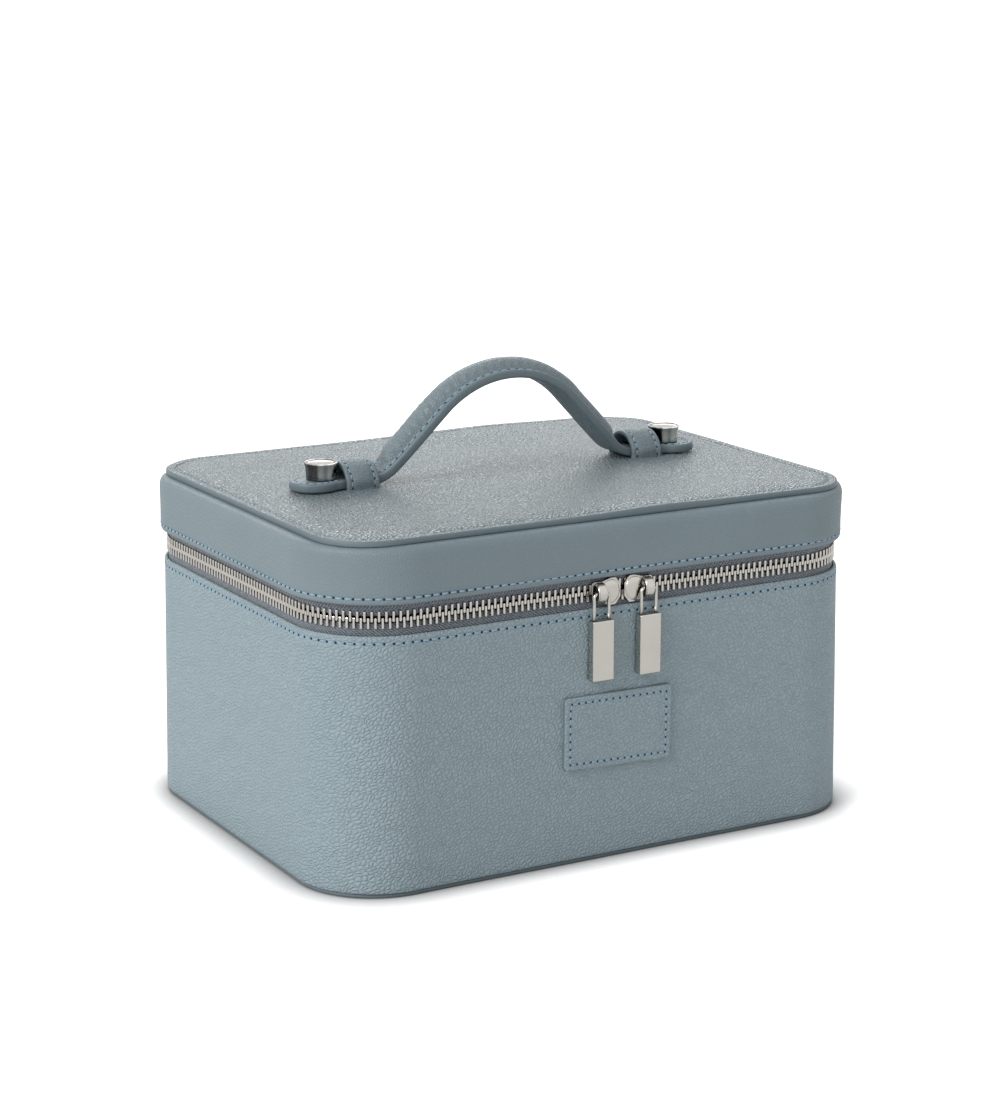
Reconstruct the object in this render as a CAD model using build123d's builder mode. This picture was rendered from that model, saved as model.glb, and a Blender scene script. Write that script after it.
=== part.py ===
from build123d import *
import math
import os

# Zip-around vanity case with a strap handle that slides in two loops.
# Millimetres. The origin is the middle of the base on the surface it stands on,
# X runs along the front, the front faces -Y and Z is up.
# The walls are described by how far they lie inside the outer leather of the base.

# ---- case ---------------------------------------------------------------------
case_width = 240.0
case_depth = 184.0
corner_radius = 35.0
base_height = 100.7            # standing surface to the stitched lip of the base
zip_reveal_lower = 6.0         # lip of the base to the middle of the zip
zip_reveal_upper = 5.9         # middle of the zip to the lip of the lid
band_height = 21.4             # lip of the lid to its shoulder

# ---- layers of the walls ---------------------------------------------------------
leather = 1.4
board = 2.2
lining = 1.0
turn_in = 13.0                 # leather turned in over a board's rim and glued
wrap_foot_round = 0.8
wrap_lip_round = 0.5
band_outset = 1.8              # the folded band of the lid stands proud of the base
band_lip_round = 1.2
band_shoulder_round = 2.8
board_set_back = 1.2           # board edge below the stitched lip
lining_set_back = 0.5          # lining edge below the stitched lip

# ---- floor and bottom ----------------------------------------------------------
bottom_panel_thickness = 2.6
bottom_panel_inset = 1.2
bottom_panel_round = 0.4
floor_board = 2.4
floor_lining = 1.2
lining_gap = 0.3               # floor and roof linings stop short of the wall lining

# ---- lid top ----------------------------------------------------------------------
lid_board = 2.8
lid_padding = 1.5
padding_window_margin = 1.0    # clear space round the glued feet of the loops
panel_inset = 3.2
panel_corner_radius = 26.0
panel_edge = 2.6               # painted edge of the top panel
panel_edge_round = 0.6
panel_rise = 1.2               # padding lifts the field inside the crease
crease_inset = 3.4
crease_width = 0.9
crease_depth = 0.4
field_inset = 16.0             # where the padded field has reached its full height

# ---- zip --------------------------------------------------------------------------
tape = 0.8
tape_sewn = 8.0                # tape hidden behind each lip
tape_clearance = 0.3
tooth_pitch = 2.6
tooth_thickness = 1.0
tooth_tip_thickness = 0.8
tooth_depth = 2.2
tooth_reach = 0.6              # tip past the middle of the zip
tooth_root = 3.2               # root, on the edge of the tape, from the middle of the zip
zip_end_angle = 74.0           # how far the teeth run round each back corner
stop_length = 3.0
stop_reach = 1.2               # end stop from the middle of the zip
stop_gap = 0.6
meeting_x = 2.0                # where the two sliders meet
meeting_gap = 1.8              # clear space between their noses
hinge_inset = 1.0              # hinge leather stops short of the back corners
hinge_gap = 0.6                # tape ends beside the hinge leather

# ---- slider ------------------------------------------------------------------------
slider_length = 12.6
slider_nose_half = 5.3
slider_nose_flat = 2.4         # half of the blunt end of the nose
slider_lobe_start = 2.2        # nose to the broad lobes
slider_lobe_length = 2.2
slider_waist_start = 8.2       # nose to the narrow waist
slider_waist_half = 4.2
slider_tail_half = 4.3
slider_plate = 1.0
slider_corner_round = 1.1
slider_channel = 1.35          # middle of the tape to the inside of a plate
slider_slot = 0.8              # middle of the tape to a flange
channel_tail_half = 3.6
channel_nose_half = 4.2
channel_overrun = 1.0          # open ends of the channel
divider_set_back = 0.9
divider_length = 3.6
divider_half = 1.3
divider_round = 0.9
bridge_offset = 3.4            # bridge behind the middle of the slider
bridge_width = 3.2
bridge_half = 4.0
bridge_thickness = 1.0

# ---- bail and puller -----------------------------------------------------------
bail_wire = 1.3
bail_half = 3.3
bail_bend = 1.8
bail_bridge_clearance = 0.35
bail_sunk = 2.0
puller_width = 9.4
puller_thickness = 4.0
puller_length = 23.6
puller_drop = 10.2             # pivot to the top of the block
puller_round = 0.5
puller_hole_clearance = 0.05

# ---- front patch --------------------------------------------------------------------
patch_width = 48.5
patch_height = 29.5
patch_drop = 33.8              # lip of the base to the top of the patch
patch_thickness = 1.6
patch_corner = 1.5
patch_edge_round = 0.5

# ---- handle ----------------------------------------------------------------------
handle_gap = 0.3               # strap above the lid where it lies flat
strap_width = 17.0
strap_neck_width = 14.4
strap_edge = 3.4               # painted edge
strap_crown = 4.2              # padding above the edge
strap_crown_end = 0.3
rise_share = 0.6226            # rise of the arch, as a share of its half span
grip_share = 0.6613            # radius of the grip, as a share of the half span
leg_angle = 45.0
crown_full = 50.0              # half length of strap with the full crown
strap_stations = 8             # sections each side of the middle
loop_set_in = 54.0             # side of the case to the middle of the loop
strap_lie = 4.0                # flat run of the strap inside each loop
loop_width = 14.0
loop_leather = 1.6
loop_half = 9.6
loop_shoulder = 2.7            # straight legs above the lid
loop_height = 10.2
loop_slit_clearance = 0.2
loop_foot = 8.0
loop_foot_thickness = 1.2
tab_radius = 10.0
tab_reach = 27.0               # middle of the loop to the tip of the tab
tab_flare = 6.0
tab_edge_round = 0.5
end_gap = 0.3                  # strap to tab inside the loop

# ---- stud -------------------------------------------------------------------------
stud_clearance = 0.4           # rim of the stud beside the loop, handle raised
stud_base_radius = 5.9
stud_rim_radius = 6.65
stud_straight = 5.0
stud_height = 6.9
stud_rim_width = 0.8
stud_dish = 0.45
stud_foot_round = 0.4
stud_post_radius = 2.0
post_clearance = 0.05
screw_head_radius = 4.2
screw_head = 1.1
screw_head_round = 0.4
screw_recess_depth = 1.4
screw_recess_clearance = 0.2
screw_shank_radius = 1.15
screw_shank_clearance = 0.05
screw_shank = 3.4
screw_slot_width = 0.8
screw_slot_depth = 0.5

# ---- levels and insets that follow ---------------------------------------------
wrap_bottom = bottom_panel_thickness
floor_level = wrap_bottom + leather + floor_board
zip_middle = base_height + zip_reveal_lower
lid_lip = zip_middle + zip_reveal_upper
band_top = lid_lip + band_height
roof_level = band_top - lid_board
panel_edge_top = band_top + panel_edge
panel_top = panel_edge_top + panel_rise

tape_outer = leather
tape_inner = leather + tape
zip_inset = leather + tape / 2
board_inner = leather + board
lining_inner = board_inner + lining

zip_plane = case_depth / 2 - zip_inset
corner_x = case_width / 2 - corner_radius
corner_y = case_depth / 2 - corner_radius
zip_corner_radius = corner_radius - zip_inset
hinge_half = corner_x - hinge_inset

patch_middle = base_height - patch_drop - patch_height / 2

loop_middle = case_width / 2 - loop_set_in
handle_half_span = loop_middle - strap_lie
handle_rise = rise_share * handle_half_span
grip_radius = grip_share * handle_half_span
strap_bottom = panel_top + handle_gap
tab_top = strap_bottom + strap_edge
loop_top = panel_top + loop_height
loop_outer_edge = loop_middle + loop_width / 2
tab_start = handle_half_span + end_gap
tab_tip = loop_middle + tab_reach
stud_x = loop_outer_edge + stud_clearance + stud_rim_radius


def case_outline(inset, mode=Mode.ADD):
    """Rounded rectangle of the case, a given distance inside the base leather."""
    RectangleRounded(
        case_width - 2 * inset, case_depth - 2 * inset, corner_radius - inset, mode=mode
    )


def panel_outline(inset, mode=Mode.ADD):
    """Rounded rectangle of the top panel, a given distance inside its painted edge."""
    RectangleRounded(
        case_width - 2 * (panel_inset + inset),
        case_depth - 2 * (panel_inset + inset),
        panel_corner_radius - inset,
        mode=mode,
    )


def ring(outer, inner, bottom, top, mode=Mode.ADD):
    """A wall that follows the case all the way round, between two insets."""
    with BuildSketch(Plane.XY.offset(bottom)) as section:
        case_outline(outer)
        case_outline(inner, Mode.SUBTRACT)
    extrude(section.sketch, amount=top - bottom, mode=mode)


def plate(inset, bottom, top, mode=Mode.ADD):
    """A full sheet with the outline of the case."""
    with BuildSketch(Plane.XY.offset(bottom)) as section:
        case_outline(inset)
    extrude(section.sketch, amount=top - bottom, mode=mode)


def save(piece, name):
    """Names a finished piece and writes it to its own file."""
    piece.part.label = name
    export_step(piece.part, f"parts/{name}.step")


os.makedirs("parts", exist_ok=True)

# ==== base ========================================================================
# Outer leather: one strip round the walls, turned in under the floor board.
with BuildPart() as base_wrap:
    ring(0, leather, wrap_bottom, base_height)
    ring(0, turn_in, wrap_bottom, wrap_bottom + leather)
    fillet(base_wrap.faces().sort_by(Axis.Z)[0].outer_wire().edges(), wrap_foot_round)
    fillet(base_wrap.faces().sort_by(Axis.Z)[-1].outer_wire().edges(), wrap_lip_round)
save(base_wrap, "base_wrap")

# Stiff wall board, rebated at the top where the zip tape is sewn behind the lip.
with BuildPart() as base_wall_board:
    board_top = base_height - board_set_back
    rebate_bottom = base_height - tape_sewn - tape_clearance
    ring(leather, board_inner, floor_level, board_top)
    ring(leather, tape_inner, rebate_bottom, board_top, Mode.SUBTRACT)
save(base_wall_board, "base_wall_board")

# Floor board, rebated below for the turned-in leather.
with BuildPart() as base_floor_board:
    plate(leather, wrap_bottom + leather, floor_level)
    plate(turn_in, wrap_bottom, wrap_bottom + leather)
save(base_floor_board, "base_floor_board")

with BuildPart() as base_wall_lining:
    ring(board_inner, lining_inner, floor_level, base_height - lining_set_back)
save(base_wall_lining, "base_wall_lining")

with BuildPart() as base_floor_lining:
    plate(lining_inner + lining_gap, floor_level, floor_level + floor_lining)
save(base_floor_lining, "base_floor_lining")

# Bottom panel with painted edge, the face that the case stands on.
with BuildPart() as base_bottom_panel:
    plate(bottom_panel_inset, 0, bottom_panel_thickness)
    fillet(
        base_bottom_panel.faces().sort_by(Axis.Z)[0].outer_wire().edges(),
        bottom_panel_round,
    )
save(base_bottom_panel, "base_bottom_panel")

with BuildPart() as front_patch:
    with BuildSketch(Plane.XZ.offset(case_depth / 2)):
        with Locations((0, patch_middle)):
            RectangleRounded(patch_width, patch_height, patch_corner)
    extrude(amount=patch_thickness)
    fillet(front_patch.faces().sort_by(Axis.Y)[0].outer_wire().edges(), patch_edge_round)
save(front_patch, "front_patch")


# ==== zip =========================================================================
def tape_ring(bottom, top):
    """Woven tape round the case, left open behind for the hinge leather."""
    ring(tape_outer, tape_inner, bottom, top)
    with BuildSketch(Plane.XY.offset(bottom)) as opening:
        with Locations((0, zip_plane)):
            Rectangle(2 * (hinge_half + hinge_gap), corner_radius)
    extrude(opening.sketch, amount=top - bottom, mode=Mode.SUBTRACT)


with BuildPart() as zip_tape_lower:
    tape_ring(base_height - tape_sewn, zip_middle - tooth_root)
save(zip_tape_lower, "zip_tape_lower")

with BuildPart() as zip_tape_upper:
    tape_ring(zip_middle + tooth_root, lid_lip + tape_sewn)
save(zip_tape_upper, "zip_tape_upper")

# Line of the zip, from the left end of its teeth round the front to the right end.
with BuildLine() as zip_line:
    CenterArc(
        (-corner_x, corner_y), zip_corner_radius, 180 - zip_end_angle, zip_end_angle
    )
    Line((-corner_x - zip_corner_radius, corner_y), (-corner_x - zip_corner_radius, -corner_y))
    CenterArc((-corner_x, -corner_y), zip_corner_radius, 180, 90)
    Line((-corner_x, -zip_plane), (corner_x, -zip_plane))
    CenterArc((corner_x, -corner_y), zip_corner_radius, 270, 90)
    Line((corner_x + zip_corner_radius, -corner_y), (corner_x + zip_corner_radius, corner_y))
    CenterArc((corner_x, corner_y), zip_corner_radius, 0, zip_end_angle)
zip_wire = zip_line.wires()[0]
meeting_distance = zip_wire.length / 2 + meeting_x


def place_on_zip(distance):
    """Location on the line of the zip: X along the line, Y towards the inside."""
    point = zip_wire.position_at(distance, PositionMode.LENGTH)
    heading = zip_wire.tangent_at(distance, PositionMode.LENGTH)
    turn = math.degrees(math.atan2(heading.Y, heading.X))
    return Location((point.X, point.Y, zip_middle), (0, 0, turn))


def tooth_places(row):
    """Places of one row's teeth, none between the dividers of the two sliders."""
    throat_end = meeting_gap / 2 + divider_set_back + divider_length + tooth_pitch / 2
    count = math.ceil(meeting_distance / tooth_pitch)
    shift = tooth_pitch / 2 if row > 0 else 0
    places = []
    for index in range(-count, count):
        offset = index * tooth_pitch + shift + tooth_pitch / 4
        distance = meeting_distance + offset
        on_the_line = tooth_pitch / 2 < distance < zip_wire.length - tooth_pitch / 2
        if on_the_line and abs(offset) > throat_end:
            places.append(place_on_zip(distance))
    return places


def teeth(row):
    """Separate teeth thinner at the tip: row is -1 for the lower and +1 for the upper row."""
    tooth_length = tooth_root + tooth_reach
    taper = (tooth_thickness - tooth_tip_thickness) / 2
    with Locations(*tooth_places(row)):
        with Locations((0, 0, row * (tooth_root - tooth_length / 2))):
            Wedge(
                tooth_thickness, tooth_length, tooth_depth,
                taper, taper, tooth_thickness - taper, tooth_depth - taper,
                rotation=(-row * 90, 0, 0),
            )


with BuildPart() as zip_teeth_lower:
    teeth(-1)
save(zip_teeth_lower, "zip_teeth_lower")

with BuildPart() as zip_teeth_upper:
    teeth(1)
save(zip_teeth_upper, "zip_teeth_upper")


def end_stops(row):
    """Metal stops on the edge of one tape, past the last tooth at both ends."""
    past = zip_end_angle + math.degrees((stop_gap + stop_length / 2) / zip_corner_radius)
    height = zip_middle + row * (stop_reach + tooth_root) / 2
    across = math.sin(math.radians(past)) * zip_corner_radius
    along = math.cos(math.radians(past)) * zip_corner_radius
    for side in (-1, 1):
        stop = Location(
            (side * (corner_x + along), corner_y + across, height),
            (0, 0, side * (90 + past)),
        )
        with Locations(stop):
            Box(stop_length, tooth_depth, tooth_root - stop_reach)


with BuildPart() as zip_stops_lower:
    end_stops(-1)
save(zip_stops_lower, "zip_stops_lower")

with BuildPart() as zip_stops_upper:
    end_stops(1)
save(zip_stops_upper, "zip_stops_upper")

# Leather strip across the back that joins base and lid and bends as the lid opens.
with BuildPart() as back_hinge:
    hinge_bottom = base_height - tape_sewn
    hinge_top = lid_lip + tape_sewn
    with Locations((0, zip_plane, (hinge_bottom + hinge_top) / 2)):
        Box(2 * hinge_half, tape, hinge_top - hinge_bottom)
save(back_hinge, "back_hinge")


# ==== sliders, bails and pullers ==================================================
slider_face = -zip_plane - slider_channel - slider_plate
pivot_y = slider_face - bridge_half + bridge_thickness + bail_bridge_clearance + bail_wire / 2


def slider_outline(side):
    """Plate of a slider seen from the front: broad lobes at the nose and a narrow waist."""
    nose = meeting_x + side * meeting_gap / 2
    tail = nose + side * slider_length
    points = [
        (nose, slider_nose_flat),
        (nose + side * slider_lobe_start, slider_nose_half),
        (nose + side * (slider_lobe_start + slider_lobe_length), slider_nose_half),
        (nose + side * slider_waist_start, slider_waist_half),
        (tail, slider_tail_half),
    ]
    below = [(x, -z) for x, z in reversed(points)]
    with Locations((0, zip_middle)):
        Polygon(*points, *below, align=None)
    fillet(vertices(), slider_corner_round)


def channel_outline(side):
    """Inside of a slider, where the two rows of teeth run."""
    nose = meeting_x + side * (meeting_gap / 2 - channel_overrun)
    tail = meeting_x + side * (meeting_gap / 2 + slider_length + channel_overrun)
    with Locations((0, zip_middle)):
        Polygon(
            (nose, channel_nose_half),
            (tail, channel_tail_half),
            (tail, -channel_tail_half),
            (nose, -channel_nose_half),
            align=None,
            mode=Mode.SUBTRACT,
        )


def make_slider(side):
    """Two plates round the chain, joined by the divider at the nose."""
    front = Plane.XZ.offset(zip_plane)
    nose = meeting_x + side * meeting_gap / 2
    bridge_x = nose + side * (slider_length / 2 + bridge_offset)
    with BuildPart() as slider:
        for face in (-1, 1):
            with BuildSketch(front.offset(face * slider_channel)):
                slider_outline(side)
            extrude(amount=face * slider_plate)
            with BuildSketch(front.offset(face * slider_slot)):
                slider_outline(side)
                channel_outline(side)
            extrude(amount=face * (slider_channel - slider_slot))
        with BuildSketch(front.offset(-slider_channel)):
            with Locations((nose + side * (divider_set_back + divider_length / 2), zip_middle)):
                RectangleRounded(divider_length, 2 * divider_half, divider_round)
        extrude(amount=2 * slider_channel)
        with BuildSketch(Plane.YZ.offset(bridge_x - bridge_width / 2)):
            with Locations((slider_face, zip_middle)):
                Circle(bridge_half)
                Circle(bridge_half - bridge_thickness, mode=Mode.SUBTRACT)
                with Locations((bridge_half, 0)):
                    Rectangle(2 * bridge_half, 2 * bridge_half, mode=Mode.SUBTRACT)
        extrude(amount=bridge_width)
    return slider


def make_bail(side):
    """Wire bail that hangs under the bridge, its legs sunk in the puller."""
    pivot_x = meeting_x + side * (meeting_gap / 2 + slider_length / 2 + bridge_offset)
    foot = zip_middle - puller_drop - bail_sunk
    with BuildPart() as bail:
        with BuildLine(Plane.XZ.offset(-pivot_y)) as route:
            FilletPolyline(
                (pivot_x - bail_half, foot),
                (pivot_x - bail_half, zip_middle),
                (pivot_x + bail_half, zip_middle),
                (pivot_x + bail_half, foot),
                radius=bail_bend,
            )
        with BuildSketch(Plane(route.line @ 0, z_dir=route.line % 0)):
            Circle(bail_wire / 2)
        sweep()
    return bail


def make_puller(side):
    """Plain block with two holes in its top for the legs of the bail."""
    pivot_x = meeting_x + side * (meeting_gap / 2 + slider_length / 2 + bridge_offset)
    top = zip_middle - puller_drop
    with BuildPart() as puller:
        with Locations((pivot_x, pivot_y, top - puller_length / 2)):
            Box(puller_width, puller_thickness, puller_length)
        fillet(puller.edges(), puller_round)
        with BuildSketch(Plane.XY.offset(top)):
            with Locations((pivot_x - bail_half, pivot_y), (pivot_x + bail_half, pivot_y)):
                Circle(bail_wire / 2 + puller_hole_clearance)
        extrude(amount=-bail_sunk - puller_hole_clearance, mode=Mode.SUBTRACT)
    return puller


for side_name, side in (("left", -1), ("right", 1)):
    save(make_slider(side), f"slider_{side_name}")
    save(make_bail(side), f"bail_{side_name}")
    save(make_puller(side), f"puller_{side_name}")


# ==== lid ========================================================================
def cut_loop_slits(bottom, top):
    """Slits for the legs of the handle loops."""
    leg_middle = loop_half - loop_leather / 2
    with BuildSketch(Plane.XY.offset(bottom)) as slits:
        with GridLocations(2 * loop_middle, 2 * leg_middle, 2, 2):
            Rectangle(
                loop_width + 2 * loop_slit_clearance, loop_leather + 2 * loop_slit_clearance
            )
    extrude(slits.sketch, amount=top - bottom, mode=Mode.SUBTRACT)


# Folded leather band round the lid, turned in over the roof board.
with BuildPart() as lid_band:
    ring(-band_outset, leather, lid_lip, band_top)
    ring(-band_outset, turn_in, band_top - leather, band_top)
    fillet(lid_band.faces().sort_by(Axis.Z)[-1].outer_wire().edges(), band_shoulder_round)
    fillet(lid_band.faces().sort_by(Axis.Z)[0].outer_wire().edges(), band_lip_round)
save(lid_band, "lid_band")

with BuildPart() as lid_wall_board:
    ring(leather, board_inner, lid_lip + board_set_back, roof_level)
    ring(
        leather, tape_inner,
        lid_lip + board_set_back, lid_lip + tape_sewn + tape_clearance, Mode.SUBTRACT,
    )
save(lid_wall_board, "lid_wall_board")

# Roof board, rebated above for the turned-in leather.
with BuildPart() as lid_top_board:
    plate(leather, roof_level, band_top - leather)
    plate(turn_in, band_top - leather, band_top)
    cut_loop_slits(roof_level, band_top)
save(lid_top_board, "lid_top_board")

# Top panel: painted edge, pressed crease and a padded field.
with BuildPart() as lid_top_panel:
    with BuildSketch(Plane.XY.offset(band_top)):
        panel_outline(0)
    extrude(amount=panel_edge)
    fillet(lid_top_panel.faces().sort_by(Axis.Z)[-1].outer_wire().edges(), panel_edge_round)
    with BuildSketch(Plane.XY.offset(panel_edge_top - crease_depth)):
        panel_outline(crease_inset)
        panel_outline(crease_inset + crease_width, Mode.SUBTRACT)
    extrude(amount=crease_depth, mode=Mode.SUBTRACT)
    with BuildSketch(Plane.XY.offset(panel_edge_top)):
        panel_outline(crease_inset + crease_width)
    with BuildSketch(Plane.XY.offset(panel_top)):
        panel_outline(field_inset)
    loft()
    cut_loop_slits(band_top, panel_top)
save(lid_top_panel, "lid_top_panel")

with BuildPart() as lid_wall_lining:
    ring(board_inner, lining_inner, lid_lip + lining_set_back, roof_level)
save(lid_wall_lining, "lid_wall_lining")

# Foam under the roof board, with windows where the loops are turned and glued.
with BuildPart() as lid_top_padding:
    plate(lining_inner + lining_gap, roof_level - lid_padding, roof_level)
    with BuildSketch(Plane.XY.offset(roof_level - lid_padding)):
        with Locations((-loop_middle, 0), (loop_middle, 0)):
            Rectangle(
                loop_width + 2 * padding_window_margin,
                2 * (loop_half + loop_foot + padding_window_margin),
            )
    extrude(amount=lid_padding, mode=Mode.SUBTRACT)
save(lid_top_padding, "lid_top_padding")

with BuildPart() as lid_top_lining:
    plate(lining_inner + lining_gap, roof_level - lid_padding - lining, roof_level - lid_padding)
save(lid_top_lining, "lid_top_lining")


# ==== handle ======================================================================
def make_loop(side):
    """Leather loop over the strap, its legs through the lid and turned outwards."""
    shoulder = panel_top + loop_shoulder
    foot_bottom = roof_level - loop_foot_thickness
    with BuildPart() as loop:
        with BuildSketch(Plane.YZ.offset(side * loop_middle - loop_width / 2)):
            for inset, mode in ((0, Mode.ADD), (loop_leather, Mode.SUBTRACT)):
                half = loop_half - inset
                with BuildLine():
                    Polyline(
                        (-half, shoulder), (-half, foot_bottom), (half, foot_bottom), (half, shoulder)
                    )
                    ThreePointArc((half, shoulder), (0, loop_top - inset), (-half, shoulder))
                make_face(mode=mode)
            with Locations((0, foot_bottom + loop_foot_thickness / 2)):
                with GridLocations(2 * loop_half + loop_foot, 0, 2, 1):
                    Rectangle(loop_foot, loop_foot_thickness)
        extrude(amount=loop_width)
    return loop


# The arch of the strap: a grip arc, straight legs and foot arcs that meet the flat.
turn = math.radians(leg_angle)
both_radii = (handle_half_span - handle_rise / math.tan(turn)) / math.tan(turn / 2)
foot_radius = both_radii - grip_radius
leg_length = (handle_rise - both_radii * (1 - math.cos(turn))) / math.sin(turn)
half_strap = both_radii * turn + leg_length


def strap_route(distance):
    """Point under the strap, and its slope, at a distance from the middle of the arch."""
    along = abs(distance)
    slope = min(along / grip_radius, turn)
    x = grip_radius * math.sin(slope)
    drop = grip_radius * (1 - math.cos(slope))
    run = min(max(along - grip_radius * turn, 0), leg_length)
    x += run * math.cos(turn)
    drop += run * math.sin(turn)
    if along > grip_radius * turn + leg_length:
        slope = max(turn - (along - grip_radius * turn - leg_length) / foot_radius, 0)
        x += foot_radius * (math.sin(turn) - math.sin(slope))
        drop += foot_radius * (math.cos(slope) - math.cos(turn))
    side = math.copysign(1, distance)
    return side * x, strap_bottom + handle_rise - drop, side * slope


def ease(value):
    """Smooth step from 0 to 1."""
    value = max(0.0, min(1.0, value))
    return value * value * (3 - 2 * value)


def strap_section(distance):
    """Section of the strap: flat below, painted sides, padded crown above."""
    x, z, slope = strap_route(distance)
    faded = ease((abs(distance) - crown_full) / (half_strap - crown_full))
    half = (strap_width + (strap_neck_width - strap_width) * faded) / 2
    crown = strap_crown + (strap_crown_end - strap_crown) * faded
    along = (math.cos(slope), 0, -math.sin(slope))
    with BuildSketch(Plane(origin=(x, 0, z), x_dir=(0, 1, 0), z_dir=along)) as section:
        with BuildLine():
            Polyline((half, strap_edge), (half, 0), (-half, 0), (-half, strap_edge))
            ThreePointArc((-half, strap_edge), (0, strap_edge + crown), (half, strap_edge))
        make_face()
    return section.sketch


with BuildPart() as handle_strap:
    stations = range(-strap_stations, strap_stations + 1)
    loft([strap_section(half_strap * station / strap_stations) for station in stations])
save(handle_strap, "handle_strap")


def make_tab(side):
    """Flat end of the strap: a neck inside the loop and a round paddle outside it."""
    with BuildPart() as tab:
        with BuildSketch(Plane.XY.offset(strap_bottom)):
            paddle_x = side * (tab_tip - tab_radius)
            neck = paddle_x - side * tab_start
            with Locations((paddle_x - neck / 2, 0)):
                Rectangle(abs(neck), strap_neck_width)
            with Locations((paddle_x, 0)):
                Circle(tab_radius)
            corners = vertices().filter_by_position(
                Axis.Y, -strap_neck_width / 2 - 0.01, strap_neck_width / 2 + 0.01
            )
            fillet(corners.sort_by(Axis.X)[::-side][:2], tab_flare)
        extrude(amount=strap_edge)
        fillet(tab.faces().sort_by(Axis.Z)[-1].outer_wire().edges(), tab_edge_round)
        with Locations((side * stud_x, 0, tab_top)):
            Hole(stud_post_radius + post_clearance)
        with Locations(Location((side * stud_x, 0, strap_bottom), (180, 0, 0))):
            CounterBoreHole(
                stud_post_radius + post_clearance,
                screw_head_radius + screw_recess_clearance,
                screw_recess_depth,
            )
    return tab


def make_stud(side):
    """Turned metal stud with a flared rim, a dished top and a hollow post."""
    post = strap_edge - screw_recess_depth
    bore = screw_shank_radius + screw_shank_clearance
    bore_top = screw_shank + screw_shank_clearance - post
    with BuildPart() as stud:
        with BuildSketch(Plane.XZ):
            with BuildLine():
                Polyline(
                    (bore, -post),
                    (stud_post_radius, -post),
                    (stud_post_radius, 0),
                    (stud_base_radius, 0),
                    (stud_base_radius, stud_straight),
                    (stud_rim_radius, stud_height - stud_foot_round),
                    (stud_rim_radius - stud_foot_round, stud_height),
                    (stud_rim_radius - stud_rim_width, stud_height),
                    (stud_rim_radius - stud_rim_width, stud_height - stud_dish),
                    (0, stud_height - stud_dish),
                    (0, bore_top),
                    (bore, bore_top),
                    (bore, -post),
                )
            make_face()
        revolve(axis=Axis.Z)
    stud.part.position = (side * stud_x, 0, tab_top)
    return stud


def make_screw(side):
    """Slotted screw that clamps the stud from under the tab."""
    head_top = screw_recess_depth
    with BuildPart() as screw:
        with BuildSketch(Plane.XY.offset(head_top)):
            Circle(screw_head_radius)
        extrude(amount=-screw_head)
        fillet(screw.faces().sort_by(Axis.Z)[0].outer_wire().edges(), screw_head_round)
        with BuildSketch(Plane.XY.offset(head_top)):
            Circle(screw_shank_radius)
        extrude(amount=screw_shank)
        with BuildSketch(Plane.XY.offset(head_top - screw_head)):
            Rectangle(2 * screw_head_radius, screw_slot_width)
        extrude(amount=screw_slot_depth, mode=Mode.SUBTRACT)
    screw.part.position = (side * stud_x, 0, strap_bottom)
    return screw


for side_name, side in (("left", -1), ("right", 1)):
    save(make_loop(side), f"handle_loop_{side_name}")
    save(make_tab(side), f"handle_tab_{side_name}")
    save(make_stud(side), f"handle_stud_{side_name}")
    save(make_screw(side), f"stud_screw_{side_name}")

print("zip line", round(zip_wire.length, 1), "mm; panel top", round(panel_top, 2))
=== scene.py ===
import bmesh
import bpy
import math
import numpy as np
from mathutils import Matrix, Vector, noise


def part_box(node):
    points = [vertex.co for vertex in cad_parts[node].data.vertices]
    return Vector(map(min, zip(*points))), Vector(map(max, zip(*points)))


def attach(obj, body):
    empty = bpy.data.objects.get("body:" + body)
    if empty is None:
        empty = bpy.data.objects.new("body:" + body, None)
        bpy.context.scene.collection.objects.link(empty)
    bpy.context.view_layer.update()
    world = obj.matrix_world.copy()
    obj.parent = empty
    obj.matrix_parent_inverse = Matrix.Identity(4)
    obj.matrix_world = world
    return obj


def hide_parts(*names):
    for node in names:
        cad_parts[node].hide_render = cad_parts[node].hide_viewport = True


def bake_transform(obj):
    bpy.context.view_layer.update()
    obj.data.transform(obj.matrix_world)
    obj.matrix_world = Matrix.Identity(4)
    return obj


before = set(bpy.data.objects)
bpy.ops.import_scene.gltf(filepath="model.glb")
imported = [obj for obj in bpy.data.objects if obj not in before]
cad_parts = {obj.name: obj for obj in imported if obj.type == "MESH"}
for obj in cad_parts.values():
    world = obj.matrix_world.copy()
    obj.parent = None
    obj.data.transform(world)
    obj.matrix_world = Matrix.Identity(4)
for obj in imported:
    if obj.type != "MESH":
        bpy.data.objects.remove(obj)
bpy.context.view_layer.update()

MM = 0.001
SCENE = bpy.context.scene
SCENE.view_settings.view_transform = "Standard"

# The case, in millimetres, in the frame of the CAD.
WIDTH, DEPTH, RADIUS = 240.0, 184.0, 35.0
BAND_TOP, PANEL_TOP = 134.0, 137.8
ZIP_MIDDLE, ZIP_INSET, MEETING_X = 106.7, 1.8, 2.0
STRAP_BOTTOM, STRAP_EDGE = 138.1, 3.4
STITCH_PITCH = 3.6
SIDES = ((-1, "left"), (1, "right"))


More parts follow.
